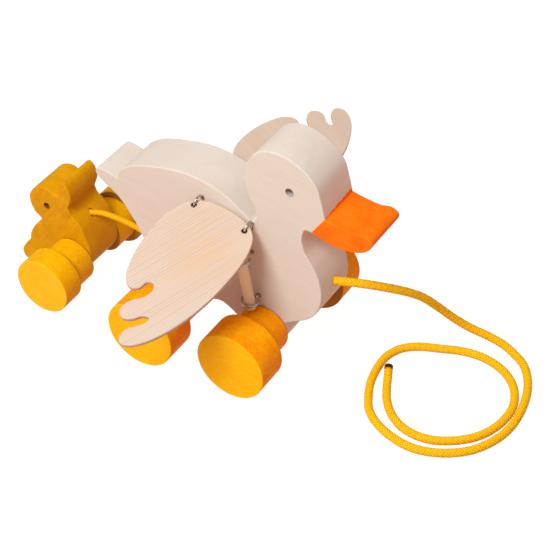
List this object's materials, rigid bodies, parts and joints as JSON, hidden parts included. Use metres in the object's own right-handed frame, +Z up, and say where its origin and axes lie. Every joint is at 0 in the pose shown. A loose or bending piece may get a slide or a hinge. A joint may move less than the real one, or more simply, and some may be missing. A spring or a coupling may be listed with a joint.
{
  "type": "pull-along duck",
  "caption": "Wooden pull-along duck whose wings flap as it rolls: off-centre drums on the front axle lift push rods under the hinged wings; a wheeled duckling follows on a tow cord.",
  "frame": {"origin": "on the floor, under the middle of the toy's bounding box without its cords", "axes": "+X the way the duck faces, +Y to the duck's left, +Z up"},
  "size_m": [0.3722, 0.2642, 0.1692],
  "materials": {
    "pine": "sanded, oiled",
    "wing_softwood": "sanded, oiled",
    "dowel": "plain",
    "orange_stain": "stained, oiled",
    "yellow_stain": "stained, oiled",
    "bright_wire": "plated",
    "pull_cord_braid": "braided cotton",
    "tow_cord_braid": "braided cotton"
  },
  "bodies": {
    "duck": {"duck_body": "pine", "right_wing_rear_hinge_eye": "bright_wire", "right_wing_front_hinge_eye": "bright_wire", "left_wing_rear_hinge_eye": "bright_wire", "left_wing_front_hinge_eye": "bright_wire", "right_rod_lower_guide_eye": "bright_wire", "right_rod_upper_guide_eye": "bright_wire", "left_rod_lower_guide_eye": "bright_wire", "left_rod_upper_guide_eye": "bright_wire", "pull_cord": "pull_cord_braid"},
    "front_axle_set": {"front_axle": "dowel", "right_front_wheel": "orange_stain", "left_front_wheel": "orange_stain", "right_wing_cam": "orange_stain", "left_wing_cam": "orange_stain"},
    "rear_axle_set": {"rear_axle": "dowel", "right_rear_wheel": "orange_stain", "left_rear_wheel": "orange_stain", "right_rear_spacer": "orange_stain", "left_rear_spacer": "orange_stain"},
    "right_wing": {"right_wing": "wing_softwood"},
    "left_wing": {"left_wing": "wing_softwood"},
    "right_push_rod": {"right_push_rod": "dowel"},
    "left_push_rod": {"left_push_rod": "dowel"},
    "tow_cord": {"tow_cord": "tow_cord_braid"},
    "duckling": {"duckling_body": "yellow_stain"},
    "duckling_axle_set": {"duckling_axle": "dowel", "duckling_right_wheel": "yellow_stain", "duckling_left_wheel": "yellow_stain", "duckling_right_drum": "yellow_stain", "duckling_left_drum": "yellow_stain"}
  },
  "joints": [
    {"name": "front_axle_spin", "type": "hinge", "parent": "duck", "child": "front_axle_set", "pos_m": [0.0625, 0, 0.025], "axis": [0, 1, 0], "continuous": true},
    {"name": "rear_axle_spin", "type": "hinge", "parent": "duck", "child": "rear_axle_set", "pos_m": [-0.0045, 0, 0.025], "axis": [0, 1, 0], "continuous": true},
    {"name": "right_wing_flap", "type": "hinge", "parent": "duck", "child": "right_wing", "pos_m": [0.0143, -0.0227, 0.11305], "axis": [-0.99, 0, 0.1409], "range_deg": [-3.4, 10.6]},
    {"name": "left_wing_flap", "type": "hinge", "parent": "duck", "child": "left_wing", "pos_m": [0.0143, 0.0227, 0.11305], "axis": [0.99, 0, -0.1409], "range_deg": [-10.55, 3.45]},
    {"name": "right_rod_slide", "type": "slide", "parent": "duck", "child": "right_push_rod", "axis": [-0.1322, -0.0751, 0.9884], "range_m": [-0.0005, 0.00155]},
    {"name": "left_rod_slide", "type": "slide", "parent": "duck", "child": "left_push_rod", "axis": [-0.1322, 0.0751, 0.9884], "range_m": [-0.00155, 0.0005]},
    {"name": "tow_cord_swing", "type": "hinge", "parent": "duck", "child": "tow_cord", "pos_m": [-0.0293, 0, 0.044], "axis": [0, 0, 1], "range_deg": [-20, 20]},
    {"name": "duckling_swing", "type": "hinge", "parent": "tow_cord", "child": "duckling", "pos_m": [-0.086, -0.0066, 0.0517], "axis": [0, 0, 1], "range_deg": [-20, 20]},
    {"name": "duckling_axle_spin", "type": "hinge", "parent": "duckling", "child": "duckling_axle_set", "pos_m": [-0.0914, -0.0066, 0.02075], "axis": [0, 1, 0], "continuous": true}
  ],
  "couplings": [
    {"joint": "right_rod_slide", "follows": "right_wing_flap", "m_per_rad": 0.0082119},
    {"joint": "left_rod_slide", "follows": "left_wing_flap", "m_per_rad": 0.0082119}
  ]
}
